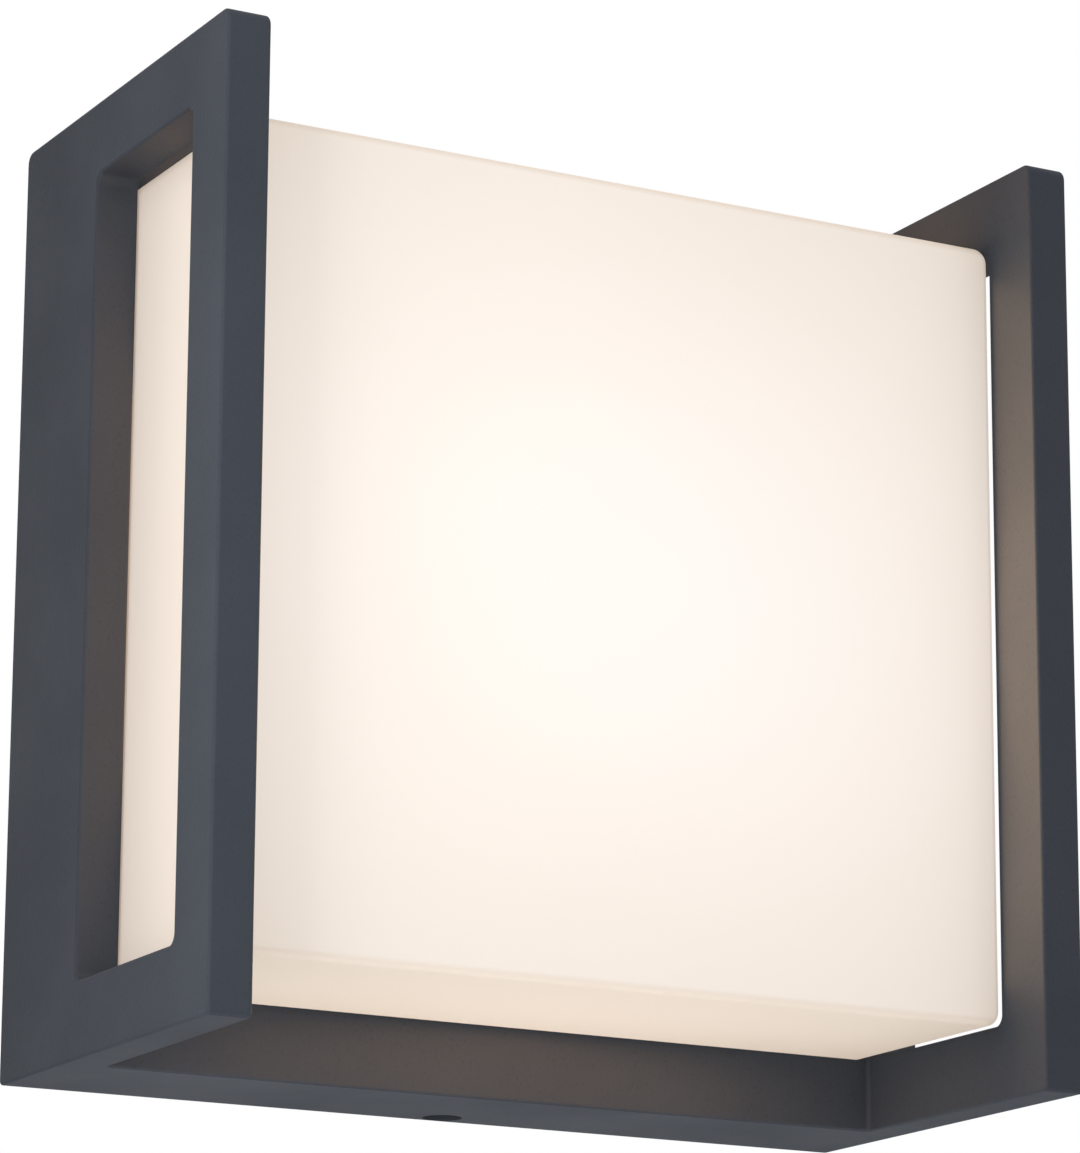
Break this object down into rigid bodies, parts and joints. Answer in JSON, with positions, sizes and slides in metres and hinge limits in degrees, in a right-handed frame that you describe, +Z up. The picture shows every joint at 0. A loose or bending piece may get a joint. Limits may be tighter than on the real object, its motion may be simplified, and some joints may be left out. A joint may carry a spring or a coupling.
{
  "type": "outdoor wall lantern",
  "caption": "Square outdoor LED wall lantern: opal box diffuser between two windowed side plates on a back box that hangs on a wall bracket.",
  "frame": {"origin": "middle of the wall face, in the plane of the wall", "axes": "+Y into the wall, +Z up, +X to the right as seen from the room"},
  "size_m": [0.154, 0.08, 0.156],
  "materials": {
    "powder_coated_aluminium": "anthracite fine-textured powder coat over die-cast aluminium, matte",
    "opal_plastic": "opal, satin, lit from inside",
    "zinc_plated_steel": "bright zinc plate over pressed steel",
    "stainless_steel": "turned stainless steel",
    "black_rubber": "moulded, matt",
    "black_foam": "closed-cell foam",
    "clear_silicone": "moulded silicone",
    "white_enamel": "white enamel on sheet, semi-gloss",
    "white_solder_mask": "white solder mask on an aluminium board",
    "led_phosphor": "yellow phosphor in a white package",
    "white_nylon": "moulded nylon",
    "grey_silicone_pad": "soft filled silicone",
    "white_polycarbonate": "moulded, fine spark texture",
    "green_circuit_board": "green solder mask on glass laminate",
    "transformer_tape": "yellow tape over a dark ferrite core",
    "capacitor_sleeve": "shrink sleeve",
    "ferrite": "sintered ferrite",
    "brass": "nickel-free brass, drawn",
    "tinned_copper": "tin plate on pressed copper",
    "brown_insulation": "extruded insulation",
    "blue_insulation": "extruded insulation",
    "green_yellow_insulation": "extruded insulation, two colours",
    "red_insulation": "extruded insulation",
    "black_insulation": "extruded insulation"
  },
  "bodies": {
    "wall_bracket": {"wall_bracket": "zinc_plated_steel", "cable_bush": "black_rubber"},
    "lantern": {"housing": "powder_coated_aluminium", "diffuser": "opal_plastic", "wall_gasket": "black_foam", "diffuser_seal": "clear_silicone", "diffuser_screws": "stainless_steel", "reflector": "white_enamel", "reflector_rivets": "white_nylon", "thermal_pad": "grey_silicone_pad", "led_board": "white_solder_mask", "led_chips": "led_phosphor", "led_connector": "white_nylon", "led_board_screws": "stainless_steel", "lead_grommet": "black_rubber", "driver_case": "white_polycarbonate", "driver_lid": "white_polycarbonate", "driver_screws": "zinc_plated_steel", "driver_board": "green_circuit_board", "driver_transformer": "transformer_tape", "driver_capacitors": "capacitor_sleeve", "driver_choke": "ferrite", "terminal_block": "white_nylon", "terminal_clamps": "brass", "terminal_screws": "zinc_plated_steel", "terminal_block_screws": "zinc_plated_steel", "earth_lug": "tinned_copper", "earth_washer": "zinc_plated_steel", "earth_screw": "brass", "wire_live": "brown_insulation", "wire_neutral": "blue_insulation", "wire_earth": "green_yellow_insulation", "led_lead_red": "red_insulation", "led_lead_black": "black_insulation"},
    "locking_screw": {"locking_screw": "stainless_steel"}
  },
  "joints": [
    {"name": "pull_off", "type": "slide", "parent": "wall_bracket", "child": "lantern", "axis": [0, -1, 0], "range_m": [0, 0.06]},
    {"name": "screw_back_out", "type": "slide", "parent": "lantern", "child": "locking_screw", "axis": [0, 0, -1], "range_m": [0, 0.006]}
  ]
}
